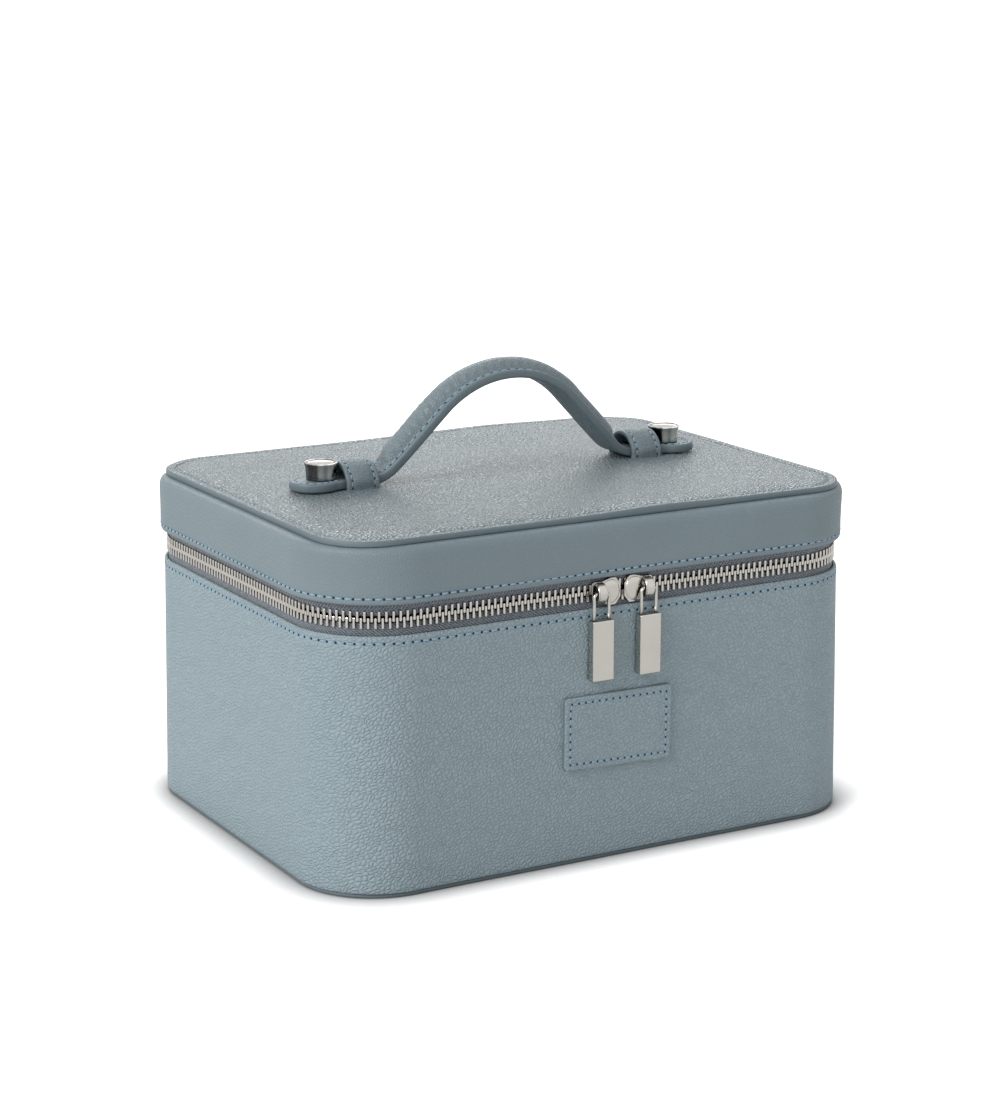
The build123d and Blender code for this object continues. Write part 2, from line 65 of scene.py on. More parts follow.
# ---- camera ----
def make_camera():
    """The photograph's viewpoint, looking down a little from the left of the front."""
    focal_pixels, frame_pixels, sensor = 2675.96, 1100, 36.0
    eye, target = Vector((-0.5283, -0.9305, 0.3540)), Vector((0.00066, -0.00034, 0.1036))
    data = bpy.data.cameras.new("camera")
    data.sensor_width = sensor
    data.lens = focal_pixels / frame_pixels * sensor
    data.clip_start, data.clip_end = 0.01, 100
    camera = bpy.data.objects.new("camera", data)
    SCENE.collection.objects.link(camera)
    camera.location = eye
    camera.rotation_euler = (target - eye).to_track_quat("-Z", "Y").to_euler()
    SCENE.camera = camera


make_camera()


# ---- materials ----
class Nodes:
    """The node tree of a material or world, with short calls to add and join nodes."""

    def __init__(self, owner, shader="Principled BSDF"):
        owner.use_nodes = True
        self.owner, self.tree = owner, owner.node_tree
        self.shader = self.tree.nodes[shader]

    def put(self, socket, value):
        """Joins a socket to the one that drives it, or gives it a constant."""
        if isinstance(value, bpy.types.NodeSocket):
            self.tree.links.new(value, socket)
        else:
            socket.default_value = value

    def add(self, kind, inputs=None, **settings):
        node = self.tree.nodes.new("ShaderNode" + kind)
        for key, value in settings.items():
            setattr(node, key, value)
        for key, value in (inputs or {}).items():
            self.put(node.inputs[key], value)
        return node

    def coordinates(self, kind="Object"):
        return self.add("TexCoord").outputs[kind]

    def noise(self, place, scale, detail=2.0, output="Fac"):
        inputs = {"Vector": place, "Scale": scale, "Detail": detail}
        return self.add("TexNoise", inputs).outputs[output]

    def math(self, operation, a, b=0.0):
        return self.add("Math", {0: a, 1: b}, operation=operation).outputs[0]

    def vector(self, operation, a, b):
        return self.add("VectorMath", {0: a, 1: b}, operation=operation).outputs[0]

    def span(self, value, low, high, to_low=0.0, to_high=1.0, kind="SMOOTHSTEP"):
        """value mapped from low..high to to_low..to_high."""
        inputs = {"Value": value, "From Min": low, "From Max": high,
                  "To Min": to_low, "To Max": to_high}
        return self.add("MapRange", inputs, interpolation_type=kind).outputs[0]

    def mix(self, factor, a, b):
        return self.add("Mix", {0: factor, 6: a, 7: b}, data_type="RGBA").outputs[2]

    def bump(self, height, depth, **more):
        """The normal of a relief whose full height is depth mm."""
        inputs = {"Height": height, "Distance": depth * MM, "Strength": 1.0, **more}
        return self.add("Bump", inputs).outputs[0]

    def set(self, **inputs):
        for key, value in inputs.items():
            self.put(self.shader.inputs[key.replace("_", " ")], value)
        return self.owner


def new_material(name):
    return Nodes(bpy.data.materials.new(name))


def rgb(red, green, blue):
    """A linear colour from screen values of 0 to 255."""
    channels = []
    for value in (red, green, blue):
        value /= 255
        channels.append(value / 12.92 if value < 0.04045 else ((value + 0.055) / 1.055) ** 2.4)
    return (*channels, 1.0)


def shade(colour, factor):
    return tuple(c * factor for c in colour[:3]) + (1.0,)


def leather(name, colour, cell, depth, stretch=(1.0, 1.0, 1.0), turn=0.0, rough=0.46,
            crease=0.85, gloss=0.5, flat=None):
    """Pebbled leather: rounded pebbles of about cell mm, drawn out along one way.

    flat names the coordinates of a sheet's own plane, in which the pebbles then lie; crease sets
    the painted shade in the grooves between pebbles.
    """
    n = new_material(name)
    place = n.coordinates(flat or "Object")

    def warped(vector, scale, amount):
        pattern = n.noise(place, scale, output="Color")
        centred = n.vector("SUBTRACT", pattern, (0.5, 0.5, 0.5))
        return n.vector("ADD", vector, n.vector("MULTIPLY", centred, (amount * MM,) * 3))

    bent = warped(warped(place, 95.0, 4.0), 330.0, 0.8)
    turned_place = n.add("VectorRotate", {"Vector": bent, "Angle": math.radians(turn)},
                         rotation_type="Z_AXIS").outputs[0]
    laid = n.add("Mapping", {"Vector": turned_place, "Scale": stretch}).outputs[0]
    scale = 1 / (cell * MM)
    edges = n.add("TexVoronoi", {"Vector": laid, "Scale": scale, "Randomness": 0.85},
                  feature="DISTANCE_TO_EDGE",
                  voronoi_dimensions="2D" if flat else "3D").outputs["Distance"]
    pillow = n.span(edges, -0.03, 0.36)
    keep = n.span(n.noise(laid, scale * 1.1, 0.0), 0.35, 0.55, 0.7, 1.0)
    dip = n.math("MULTIPLY", n.math("SUBTRACT", 1.0, pillow), keep)
    pores, patchy = n.noise(place, 1500.0), n.noise(place, 28.0)
    height = n.math("MULTIPLY", dip, n.span(patchy, 0.3, 0.7, -0.75, -1.0))
    height = n.math("ADD", height, n.math("MULTIPLY", pores, 0.10))
    # painted shade: the grooves between pebbles are darkened by the crease factor
    line = n.math("MULTIPLY", n.math("SUBTRACT", 1.0, n.span(edges, 0.0, 0.16)), keep)
    tint = n.mix(line, colour, shade(colour, crease))
    patches = n.span(patchy, 0.25, 0.75, 0.97, 1.03)
    tint = n.add("VectorMath", {0: tint, "Scale": patches}, operation="SCALE").outputs[0]
    return n.set(Base_Color=tint, Roughness=n.span(pillow, 0.0, 1.0, rough + 0.14, rough),
                 Specular_IOR_Level=gloss, Normal=n.bump(height, depth))


def painted_edge(name, colour, rough=0.4):
    """Edge paint on cut leather: smooth, with a slightly wavy surface."""
    n = new_material(name)
    wavy = n.noise(n.coordinates(), 260.0, 3.0)
    return n.set(Base_Color=n.mix(wavy, shade(colour, 0.9), shade(colour, 1.08)),
                 Roughness=n.span(wavy, 0.3, 0.7, rough, rough + 0.12),
                 Normal=n.bump(wavy, 0.12))


def woven(name, colour, across, slant, chevron=None):
    """Woven tape: slanting ribs along its run, turned back at a chevron line if one is given."""
    n = new_material(name)
    run = n.add("SeparateXYZ", {0: n.coordinates("UV")})
    u, v = run.outputs[0], run.outputs[1]
    rise = n.math("PINGPONG", v, chevron * MM) if chevron else v
    weft_pitch, contrast = 0.8, 0.5
    lean = n.math("ADD", u, n.math("MULTIPLY", rise, slant))
    ribs = n.math("SINE", n.math("MULTIPLY", lean, 2 * math.pi / (across * MM)))
    weft = n.math("SINE", n.math("MULTIPLY", v, 2 * math.pi / (weft_pitch * MM)))
    fuzz = n.noise(n.coordinates(), 1300.0, 3.0)
    weave = n.math("ADD", n.math("MULTIPLY", ribs, 0.7), n.math("MULTIPLY", weft, 0.3))
    weave = n.span(n.math("ADD", weave, n.span(fuzz, 0.3, 0.7, -0.5, 0.5)), -1.1, 1.1)
    tint = n.mix(weave, shade(colour, 1 - contrast), shade(colour, 1 + contrast))
    return n.set(Base_Color=tint, Roughness=0.5, Normal=n.bump(weave, 0.3), Sheen_Weight=0.2,
                 Sheen_Roughness=0.4)


def metal(name, colour, rough, edge=0.0, painted_reflection_bands=None):
    """Plated metal with faint polishing marks, and painted shade where something stands close.

    edge rounds sharp corners by that many mm, and the last argument sets the phase of painted
    reflection: dark bands round a turned piece by bearing.
    """
    n = new_material(name)
    place = n.coordinates()
    marks, broad = n.noise(place, 700.0, 3.0), n.noise(place, 90.0)
    rounded = {}
    if edge:
        rounded["Normal"] = n.add("Bevel", {"Radius": edge * MM}, samples=6).outputs[0]
    relief = n.math("ADD", marks, n.math("MULTIPLY", broad, 3.0))
    tint = n.mix(broad, shade(colour, 0.92), shade(colour, 1.05))
    # painted shade: the colour goes near black where another surface is within 2.2 mm
    near = n.add("AmbientOcclusion", {"Distance": 2.2 * MM}, samples=6).outputs["AO"]
    tint = n.mix(n.span(near, 0.25, 0.85), shade(colour, 0.12), tint)
    # painted reflection: dark bands round a turned piece, set by the bearing of its surface
    if painted_reflection_bands is not None:
        facing = n.add("SeparateXYZ", {0: n.add("NewGeometry").outputs["Normal"]})
        bearing = n.math("ARCTAN2", facing.outputs[1], facing.outputs[0])
        dark = n.math("SINE", n.math("ADD", n.math("MULTIPLY", bearing, 2.0), painted_reflection_bands))
        more = n.math("SINE", n.math("ADD", n.math("MULTIPLY", bearing, 7.0), 0.6))
        dark = n.math("ADD", dark, n.math("MULTIPLY", more, 0.55))
        tint = n.mix(n.span(dark, -0.55, 0.65), tint, shade(colour, 0.16))
    return n.set(Base_Color=tint, Metallic=1.0,
                 Roughness=n.span(marks, 0.3, 0.7, rough, rough + 0.08),
                 Normal=n.bump(relief, 0.004, **rounded))


def thread(name, colour):
    """Sewing thread, its twist shown by slanting stripes."""
    n = new_material(name)
    twist = n.add("TexWave", {"Vector": n.coordinates(), "Scale": 900.0, "Distortion": 1.0},
                  bands_direction="DIAGONAL").outputs["Fac"]
    return n.set(Base_Color=n.mix(twist, shade(colour, 0.82), shade(colour, 1.12)),
                 Roughness=0.55, Normal=n.bump(twist, 0.05), Sheen_Weight=0.2)


def rough_board(name, colour):
    """Grey board or foam, seen only on hidden faces; also the painted shade of needle holes."""
    n = new_material(name)
    fibres = n.noise(n.coordinates(), 500.0, 5.0)
    return n.set(Base_Color=n.mix(fibres, shade(colour, 0.8), shade(colour, 1.15)),
                 Roughness=0.85, Normal=n.bump(fibres, 0.1))


BLUE = rgb(148, 166, 173)
WALL = leather("leather_wall", BLUE, cell=1.6, stretch=(0.78, 1.12, 1.0), turn=-22.0, depth=0.36,
               crease=0.86, flat="UV")
BAND = leather("leather_band", shade(BLUE, 0.67), cell=1.3, stretch=(1.2, 0.8, 1.0), depth=0.09,
               crease=0.95, flat="UV")
TOP = leather("leather_top", shade(BLUE, 0.69), cell=1.45, stretch=(0.7, 1.0, 1.0), depth=0.7,
              rough=0.27, gloss=0.9, crease=0.6, flat="Object")
STRAP = leather("leather_strap", shade(BLUE, 0.62), cell=1.3, depth=0.16, rough=0.38)
EDGE = painted_edge("edge_paint", rgb(106, 121, 127))
TAPE_UPPER = woven("tape_upper", rgb(112, 119, 128), across=1.4, slant=0.8, chevron=2.1)
TAPE_LOWER = woven("tape_lower", rgb(106, 114, 122), across=1.6, slant=1.3)
NICKEL = metal("nickel", (0.60, 0.58, 0.535, 1.0), rough=0.16, edge=0.35)
TEETH = metal("tooth_metal", (0.64, 0.615, 0.57, 1.0), rough=0.22)
# the stud's sides carry painted reflection bands
STUD = metal("stud_metal", (0.72, 0.70, 0.66, 1.0), rough=0.07, painted_reflection_bands=0.8)
STUD_TOP = metal("stud_top_metal", (0.30, 0.29, 0.27, 1.0), rough=0.10)
THREAD = thread("thread_blue", rgb(144, 178, 200))
THREAD_TONE = thread("thread_tone", rgb(140, 158, 166))
# painted shade: near-black colour of the needle holes
HOLE_SHADE = rough_board("needle_hole", rgb(28, 36, 42))
BOARD = rough_board("board", rgb(150, 140, 122))
FOAM = rough_board("foam", rgb(200, 198, 190))
LINING = leather("lining_cloth", rgb(96, 104, 108), cell=0.9, depth=0.04, rough=0.6)
HINGE = leather("leather_hinge", shade(BLUE, 0.67), cell=1.4, depth=0.12, crease=0.95)


# ---- mesh helpers ----
def make_mesh(name, points, faces, materials, indices=None, uvs=None, smooth=True):
    """An object from points in millimetres; uvs gives each corner of each face."""
    mesh = bpy.data.meshes.new(name)
    mesh.from_pydata([tuple(float(c) * MM for c in p) for p in points], [], faces)
    for material in materials:
        mesh.materials.append(material)
    if indices is not None:
        mesh.polygons.foreach_set("material_index", indices)
    mesh.polygons.foreach_set("use_smooth", [smooth] * len(faces))
    if uvs is not None:
        layer = mesh.uv_layers.new(name="run")
        layer.data.foreach_set("uv", (np.array(uvs, float) * MM).ravel())
    mesh.validate()
    mesh.update()
    made = bpy.data.objects.new(name, mesh)
    SCENE.collection.objects.link(made)
    return made


def quads(columns, rows, ring_columns=False, ring_rows=False, flip=False):
    """Faces of a grid whose points run column by column; a ring closes on its first one."""
    faces = []
    for k in range(columns if ring_columns else columns - 1):
        for j in range(rows if ring_rows else rows - 1):
            here, there, up = k * rows, (k + 1) % columns * rows, (j + 1) % rows
            face = (here + j, there + j, there + up, here + up)
            faces.append((face[0], *face[:0:-1]) if flip else face)
    return faces


def face_outward(piece, weld=None):
    """Turns every face outward, after joining points closer than weld metres."""
    mesh = bmesh.new()
    mesh.from_mesh(piece.data)
    if weld:
        bmesh.ops.remove_doubles(mesh, verts=mesh.verts, dist=weld)
    bmesh.ops.recalc_face_normals(mesh, faces=mesh.faces)
    mesh.to_mesh(piece.data)
    mesh.free()


def rounded_line(width, depth, radius, spacing=2.0):
    """Stations (place, outward) round a rounded rectangle from mid-back, and their runs."""
    x, y = width / 2 - radius, depth / 2 - radius
    stations, corner_steps = [], 26

    def straight(a, b, normal):
        steps = max(1, round(math.dist(a, b) / spacing))
        for i in range(steps):
            t = i / steps
            stations.append((a[0] + (b[0] - a[0]) * t, a[1] + (b[1] - a[1]) * t, *normal))

    def corner(cx, cy, start):
        for i in range(corner_steps):
            a = math.radians(start + 90 * i / corner_steps)
            stations.append((cx + radius * math.cos(a), cy + radius * math.sin(a),
                             math.cos(a), math.sin(a)))

    straight((0, depth / 2), (-x, depth / 2), (0, 1))
    corner(-x, y, 90)
    straight((-width / 2, y), (-width / 2, -y), (-1, 0))
    corner(-x, -y, 180)
    straight((-x, -depth / 2), (x, -depth / 2), (0, -1))
    corner(x, -y, 270)
    straight((width / 2, -y), (width / 2, y), (1, 0))
    corner(x, y, 0)
    straight((x, depth / 2), (0, depth / 2), (0, 1))
    line = np.array(stations)
    steps = np.linalg.norm(np.roll(line[:, :2], -1, axis=0) - line[:, :2], axis=1)
    return line, np.concatenate(([0], np.cumsum(steps)))


def at_run(line, runs, distance):
    """Place and outward direction at a distance along a closed line."""
    total = runs[-1]
    distance %= total
    i = min(int(np.searchsorted(runs, distance, side="right")) - 1, len(line) - 1)
    t = (distance - runs[i]) / (runs[i + 1] - runs[i])
    a, b = line[i], line[(i + 1) % len(line)]
    place = a[:2] + (b[:2] - a[:2]) * t
    out = a[2:] + (b[2:] - a[2:]) * t
    return place, out / np.linalg.norm(out)


def round_points(profile, relief=None):
    """A profile of (outward, height) points set at every station round the case."""
    points = []
    for x, y, nx, ny in LINE:
        for out, z in profile:
            px, py = x + nx * out, y + ny * out
            push = relief(px, py, z) if relief else 0.0
            points.append((px + nx * push, py + ny * push, z))
    return points


def sweep_round(name, profile, material, relief=None, cut=None):
    """A profile carried round the case, left open between stations that cut picks."""
    steps = [math.dist(a, b) for a, b in zip(profile, profile[1:])]
    length = np.concatenate(([0], np.cumsum(steps)))
    count, rows = len(LINE), len(profile)
    faces, uvs = [], []
    for k in range(count):
        n = (k + 1) % count
        if cut and cut(LINE[k]) and cut(LINE[n]):
            continue
        for j in range(rows - 1):
            faces.append((k * rows + j, n * rows + j, n * rows + j + 1, k * rows + j + 1))
            uvs += [(RUNS[k], length[j]), (RUNS[k + 1], length[j]),
                    (RUNS[k + 1], length[j + 1]), (RUNS[k], length[j + 1])]
    return make_mesh(name, round_points(profile, relief), faces, [material], uvs=uvs)


def wobble(x, y, z, scale, amount, seed=0.0):
    """Smooth unevenness of leather, in millimetres."""
    return amount * noise.noise(Vector((x / scale + seed, y / scale, z / scale)))


def capsule(start, end, up, radius):
    """Points and faces of one stitch, arched a little over the leather."""
    rise, sunk, sides, rings = 0.16, 0.08, 6, 5
    start, end, up = Vector(start), Vector(end), Vector(up).normalized()
    along = (end - start).normalized()
    side = along.cross(up).normalized()
    points = []
    for r in range(rings):
        t = r / (rings - 1)
        middle = start.lerp(end, t) + up * (rise * math.sin(math.pi * t) - sunk)
        thick = radius * (0.35 + 0.65 * math.sin(math.pi * (0.12 + 0.76 * t)))
        for s in range(sides):
            a = 2 * math.pi * s / sides
            points.append(middle + side * (math.cos(a) * thick) + up * (math.sin(a) * thick))
    faces = quads(rings, sides, ring_rows=True, flip=True)
    faces.append(tuple(range(sides))[::-1])
    faces.append(tuple(range((rings - 1) * sides, rings * sides)))
    return points, faces


def needle_hole(place, along, up, radius):
    """A small dimple between two stitches, dark with painted shade."""
    place, up, along = Vector(place), Vector(up).normalized(), Vector(along).normalized()
    side = along.cross(up).normalized()
    points, sides = [place + up * 0.22], 7
    for s in range(sides):
        a = 2 * math.pi * s / sides
        points.append(place + (along * math.cos(a) + side * math.sin(a)) * radius + up * 0.12)
    return points, [(0, 1 + s, 1 + (s + 1) % sides) for s in range(sides)]


class Seam:
    """A row of stitches or teeth, gathered for one object."""

    def __init__(self):
        self.points, self.faces, self.indices = [], [], []

    def add(self, part, index=0):
        points, faces = part
        offset = len(self.points)
        self.points += [tuple(p) for p in points]
        self.faces += [tuple(offset + i for i in f) for f in faces]
        self.indices += [index] * len(faces)

    def sew(self, path, radius=0.40, hole=0.52, closed=False):
        """path gives (place, up) at an even spacing; one stitch per step."""
        fill = 0.72
        gap = (1 - fill) / 2
        for i in range(len(path) if closed else len(path) - 1):
            (a, up_a), (b, up_b) = path[i], path[(i + 1) % len(path)]
            a, b = Vector(a), Vector(b)
            up = (Vector(up_a) + Vector(up_b)).normalized()
            self.add(capsule(a.lerp(b, gap), a.lerp(b, 1 - gap), up, radius))
            self.add(needle_hole(a, b - a, Vector(up_a), hole), 1)
        return self

    def make(self, name, body=None, material=THREAD):
        made = make_mesh(name, self.points, self.faces, [material, HOLE_SHADE], self.indices)
        if body:
            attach(made, body)
        return made


def dress(piece, body, slot, *nodes):
    """Rides a piece on its body and hides the solids it stands for."""
    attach(piece, body)
    if nodes:
        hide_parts(*nodes)
    return piece


def paint(material, *names):
    """Gives CAD nodes their finish."""
    for name in names:
        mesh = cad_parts[name].data
        mesh.materials.clear()
        mesh.materials.append(material)


# ---- case walls ----
LINE, RUNS = rounded_line(WIDTH, DEPTH, RADIUS)


def spaced(line, runs, out, pitch=STITCH_PITCH):
    """Even steps round a closed line, out mm outside it: x, y and the outward direction."""
    count = round(runs[-1] / pitch)
    for i in range(count):
        place, normal = at_run(line, runs, runs[-1] * i / count)
        yield place[0] + normal[0] * out, place[1] + normal[1] * out, normal


def corner_share(x, y):
    """1 in the middle of a rounded corner, 0 along the straight sides."""
    dx = max(0.0, abs(x) - (WIDTH / 2 - RADIUS))
    dy = max(0.0, abs(y) - (DEPTH / 2 - RADIUS))
    return 2 * dx * dy / (dx * dx + dy * dy) if dx and dy else 0.0


def wall_relief(x, y, z):
    """The leather stands a little fuller towards the foot, most of all at the corners."""
    low = max(0.0, min(1.0, 1 - z / 100.0))
    left = max(0.0, -x / 120.0) ** 2
    front = 0.2 if y < 0 and x > -105 else 0.0
    push = 0.45 - front + 0.35 * low + 0.5 * low * left
    push += corner_share(x, y) * (0.15 + front + 1.2 * low)
    return wobble(x, y, z, 45.0, 0.13) + push


def make_base():
    """Outer leather of the base, turned over at the lip and sewn there."""
    wall = [(-2.9, 1.56), (-0.95, 1.58), (-0.45, 1.68), (-0.15, 1.95), (-0.02, 2.4), (0.0, 3.6)]
    wall += [(0.0, z) for z in np.linspace(12, 92, 11)]
    wall += [(0.0, 95.0), (0.06, 96.6), (-0.05, 97.4), (-0.20, 97.9), (-0.05, 98.4),
             (0.10, 99.0), (0.10, 99.8), (-0.02, 100.3), (-0.30, 100.62), (-0.70, 100.74),
             (-1.08, 100.62), (-1.30, 100.2), (-1.36, 99.0), (-1.36, 93.0)]
    piece = sweep_round("base_leather", wall, WALL, relief=wall_relief)
    dress(piece, "base", "leather", "base_wrap")
    path, groove, height = [], -0.14, 97.9
    for x, y, normal in spaced(LINE, RUNS, groove):
        push = wall_relief(x, y, height)
        path.append(((x + normal[0] * push, y + normal[1] * push, height), (*normal, 0)))
    Seam().sew(path, closed=True).make("base_lip_stitches", "base")


def make_bottom():
    """The panel that the case stands on, with a painted edge."""
    foot = [(-14.0, 1.45), (-1.5, 1.45), (-0.95, 1.35), (-0.8, 1.1), (-0.8, 0.5), (-0.9, 0.2),
            (-1.2, 0.03), (-14.0, 0.0)]
    count, rows = len(LINE), len(foot)
    faces = quads(count, rows, ring_columns=True)
    faces += [tuple(k * rows + rows - 1 for k in range(count)),
              tuple(k * rows for k in range(count))[::-1]]
    indices = [1, 0, 0, 0, 0, 0, 1] * count + [1, 1]
    piece = make_mesh("bottom_panel", round_points(foot, wall_relief), faces, [EDGE, STRAP],
                      indices)
    face_outward(piece)
    dress(piece, "base", "leather", "base_bottom_panel")


def band_relief(x, y, z):
    """The lid's leather, uneven, flared at its right and crumpled round the corners."""
    flare = 0.5 * max(0.0, (z - 118) / 16) if x > 60 else 0.0
    corner = corner_share(x, y) if z > 112 else 0.0
    crumple = noise.noise(Vector((x / 3.2, y / 3.2, z / 9.0))) * corner * 0.12
    return wobble(x, y, z, 38.0, 0.25, 3.0) + flare + crumple


def make_band():
    """Folded leather band of the lid, sewn along its lower edge."""
    band = [(-1.3, 121.0), (-1.3, 114.2), (-1.1, 113.3), (-0.6, 112.8), (0.2, 112.6),
            (1.0, 112.62), (1.55, 112.9), (1.8, 113.4), (1.86, 114.0), (1.80, 114.6),
            (1.62, 115.1), (1.80, 115.6), (1.92, 116.4), (1.88, 118.0)]
    band += [(1.82, z) for z in np.linspace(120, 130.6, 6)]
    band += [(1.70, 131.7), (1.38, 132.6), (0.85, 133.3), (0.10, 133.8), (-0.9, 134.0),
             (-3.0, 134.03), (-6.0, 134.03)]
    piece = sweep_round("lid_band_leather", band, BAND, relief=band_relief)
    dress(piece, "lid", "leather", "lid_band")
    path = [((x, y, 115.1), (*normal, 0)) for x, y, normal in spaced(LINE, RUNS, 1.70)]
    Seam().sew(path, closed=True).make("lid_lip_stitches", "lid")


# ---- top panel ----
PANEL_LINE, PANEL_RUNS = rounded_line(WIDTH - 7.2, DEPTH - 4.8, 24.0, spacing=3.0)


def panel_wave(x, y):
    """The panel lifts a little along its back and along the right of its front."""
    back = 0.9 * math.exp(-((x - 38) / 30) ** 2) * max(0.0, y / 88) ** 3
    front = 0.7 * math.exp(-((x - 20) / 26) ** 2) * max(0.0, -y / 88) ** 4
    pulled = sum(math.exp(-((x - side * 68) / 24) ** 2 - (y / 17) ** 2) for side in (-1, 1))
    field = 1 - max(abs(x) / 118, abs(y) / 91) ** 6
    return back + front + wobble(x, y, 0, 36.0, 0.22, 11.0) - 0.9 * (1 - pulled) * field


def make_panel():
    """Padded panel with a painted edge and a sewn crease inside it."""
    low, edge_top = BAND_TOP, BAND_TOP + 2.6
    rings = [(-0.5, low), (-0.1, low + 0.15), (0.0, low + 0.6), (0.0, low + 1.8),
             (-0.12, low + 2.25), (-0.45, low + 2.52), (-0.9, edge_top), (-2.0, edge_top + 0.05),
             (-2.8, edge_top), (-3.35, edge_top - 0.18), (-3.75, edge_top - 0.42),
             (-4.2, edge_top - 0.2), (-5.2, edge_top + 0.25), (-7.5, edge_top + 0.62),
             (-11.0, edge_top + 0.95), (-16.0, edge_top + 1.15)]
    edge_rows, inner_steps, spine = 5, 16, 28.0
    points = []
    for x, y, nx, ny in PANEL_LINE:
        for out, z in rings:
            px, py = x + nx * out, y + ny * out
            points.append((px, py, z + panel_wave(px, py) * min(1.0, (z - low) / 2.0)))
        ax, ay = x + nx * rings[-1][0], y + ny * rings[-1][0]
        bx, by = max(-spine, min(spine, x)), 0.0
        for s in range(1, inner_steps + 1):
            t = s / inner_steps
            px, py = ax + (bx - ax) * t, ay + (by - ay) * t
            points.append((px, py, PANEL_TOP - 0.03 + panel_wave(px, py)))
    rows = len(rings) + inner_steps
    indices = [1 if j < edge_rows else 0 for j in range(rows - 1)] * len(PANEL_LINE)
    piece = make_mesh("top_panel_leather", points,
                      quads(len(PANEL_LINE), rows, ring_columns=True), [TOP, EDGE], indices)
    face_outward(piece, weld=1e-6)
    dress(piece, "lid", "grained_leather", "lid_top_panel")
    path = [((x, y, BAND_TOP + 2.28 + panel_wave(x, y)), (0, 0, 1))
            for x, y, _ in spaced(PANEL_LINE, PANEL_RUNS, -3.6, pitch=3.4)]
    Seam().sew(path, radius=0.32, hole=0.4, closed=True).make(
        "panel_stitches", "lid", THREAD_TONE)


# ---- zip ----
def behind(station):
    """Inside the stretch across the back that the hinge leather closes."""
    hinge_half = 84.8
    return station[1] > 0 and abs(station[0]) < hinge_half and station[3] > 0.99


def make_tapes():
    """Woven tapes behind the two lips, thicker along the teeth."""
    out, thick = -1.0, 0.7
    lower = [(out, 92.8), (out, 99.0), (out - 0.05, 102.6), (out - 0.3, 103.4),
             (out - 0.3, 105.0), (out - 0.6, 105.4), (out - 0.95, 105.0),
             (out - 0.95, 103.4), (out - thick, 102.0), (out - thick, 92.8)]
    upper = [(out - thick, 120.6), (out - thick, 111.4), (out - 0.95, 110.0), (out - 0.95, 108.4),
             (out - 0.6, 108.0), (out - 0.3, 108.4), (out - 0.3, 110.0), (out - 0.05, 110.8),
             (out, 114.0), (out, 120.6)]
    piece = sweep_round("tape_lower", lower, TAPE_LOWER, cut=behind)
    dress(piece, "base", "zip_tape", "zip_tape_lower")
    piece = sweep_round("tape_upper", upper, TAPE_UPPER, cut=behind)
    dress(piece, "lid", "zip_tape", "zip_tape_upper")


def tooth(place, outward, row, drop):
    """One metal tooth: a clamp on the tape, a neck and a head that hooks its neighbours."""
    along, out = Vector((-outward[1], outward[0], 0)), Vector((outward[0], outward[1], 0))
    up, origin = Vector((0, 0, 1)), Vector((place[0], place[1], ZIP_MIDDLE))
    # half width, half depth, distance from the middle of the zip
    levels = [(0.36, 0.85, -0.75), (0.56, 1.0, -0.5), (0.60, 1.04, 0.35), (0.50, 1.02, 0.7),
              (0.55, 1.08, 1.2), (0.58, 1.10, 2.85), (0.50, 1.02, 3.2), (0.34, 0.82, 3.35)]
    octagon = ((-1, -0.72), (-0.72, -1), (0.72, -1), (1, -0.72), (1, 0.72), (0.72, 1),
               (-0.72, 1), (-1, 0.72))
    points = [origin + along * (a * half) + out * (b * deep) + up * row * (far + drop)
              for half, deep, far in levels for a, b in octagon]
    faces = quads(len(levels), 8, ring_rows=True, flip=True)
    faces += [tuple(range(8))[::-1], tuple(range(len(points) - 8, len(points)))]
    return points, faces if row > 0 else [face[::-1] for face in faces]


def make_teeth():
    """Two rows of teeth half a pitch apart, parted a little where the sliders meet."""
    pitch, inset = 2.6, ZIP_INSET - 0.35
    line, runs = rounded_line(WIDTH - 2 * inset, DEPTH - 2 * inset, RADIUS - inset)
    # each row ends this far from the middle of the back, just inside the rear corners
    end_run = 85.0 + 33.2 * math.radians(90 - 74) + 1.4
    for row, body, half in ((-1, "base", "lower"), (1, "lid", "upper")):
        gathered = Seam()
        for index in range(-150, 150):
            offset = index * pitch + (pitch / 2 if row > 0 else 0.0) + pitch / 4
            distance = runs[-1] / 2 + MEETING_X + offset
            if not end_run < distance < runs[-1] - end_run:
                continue
            away = abs(offset)
            drop = 1.0 if away <= 2.2 else 0.75 * max(0.0, 1 - (away - 1.6) / 8.0)
            gathered.add(tooth(*at_run(line, runs, distance), row, drop))
        made = make_mesh("teeth_" + half, gathered.points, gathered.faces, [TEETH], smooth=False)
        dress(made, body, "nickel", "zip_teeth_" + half)


# ---- studs, blocks ----
def turned(name, profile, centre, material):
    """A turned piece from (radius, height) points."""
    points, segments = [], 72
    for s in range(segments):
        a = 2 * math.pi * s / segments
        points += [(centre[0] + r * math.cos(a), centre[1] + r * math.sin(a), centre[2] + z)
                   for r, z in profile]
    faces = quads(segments, len(profile), ring_columns=True)
    made = make_mesh(name, points, faces, [material])
    face_outward(made, weld=1e-7)
    return made


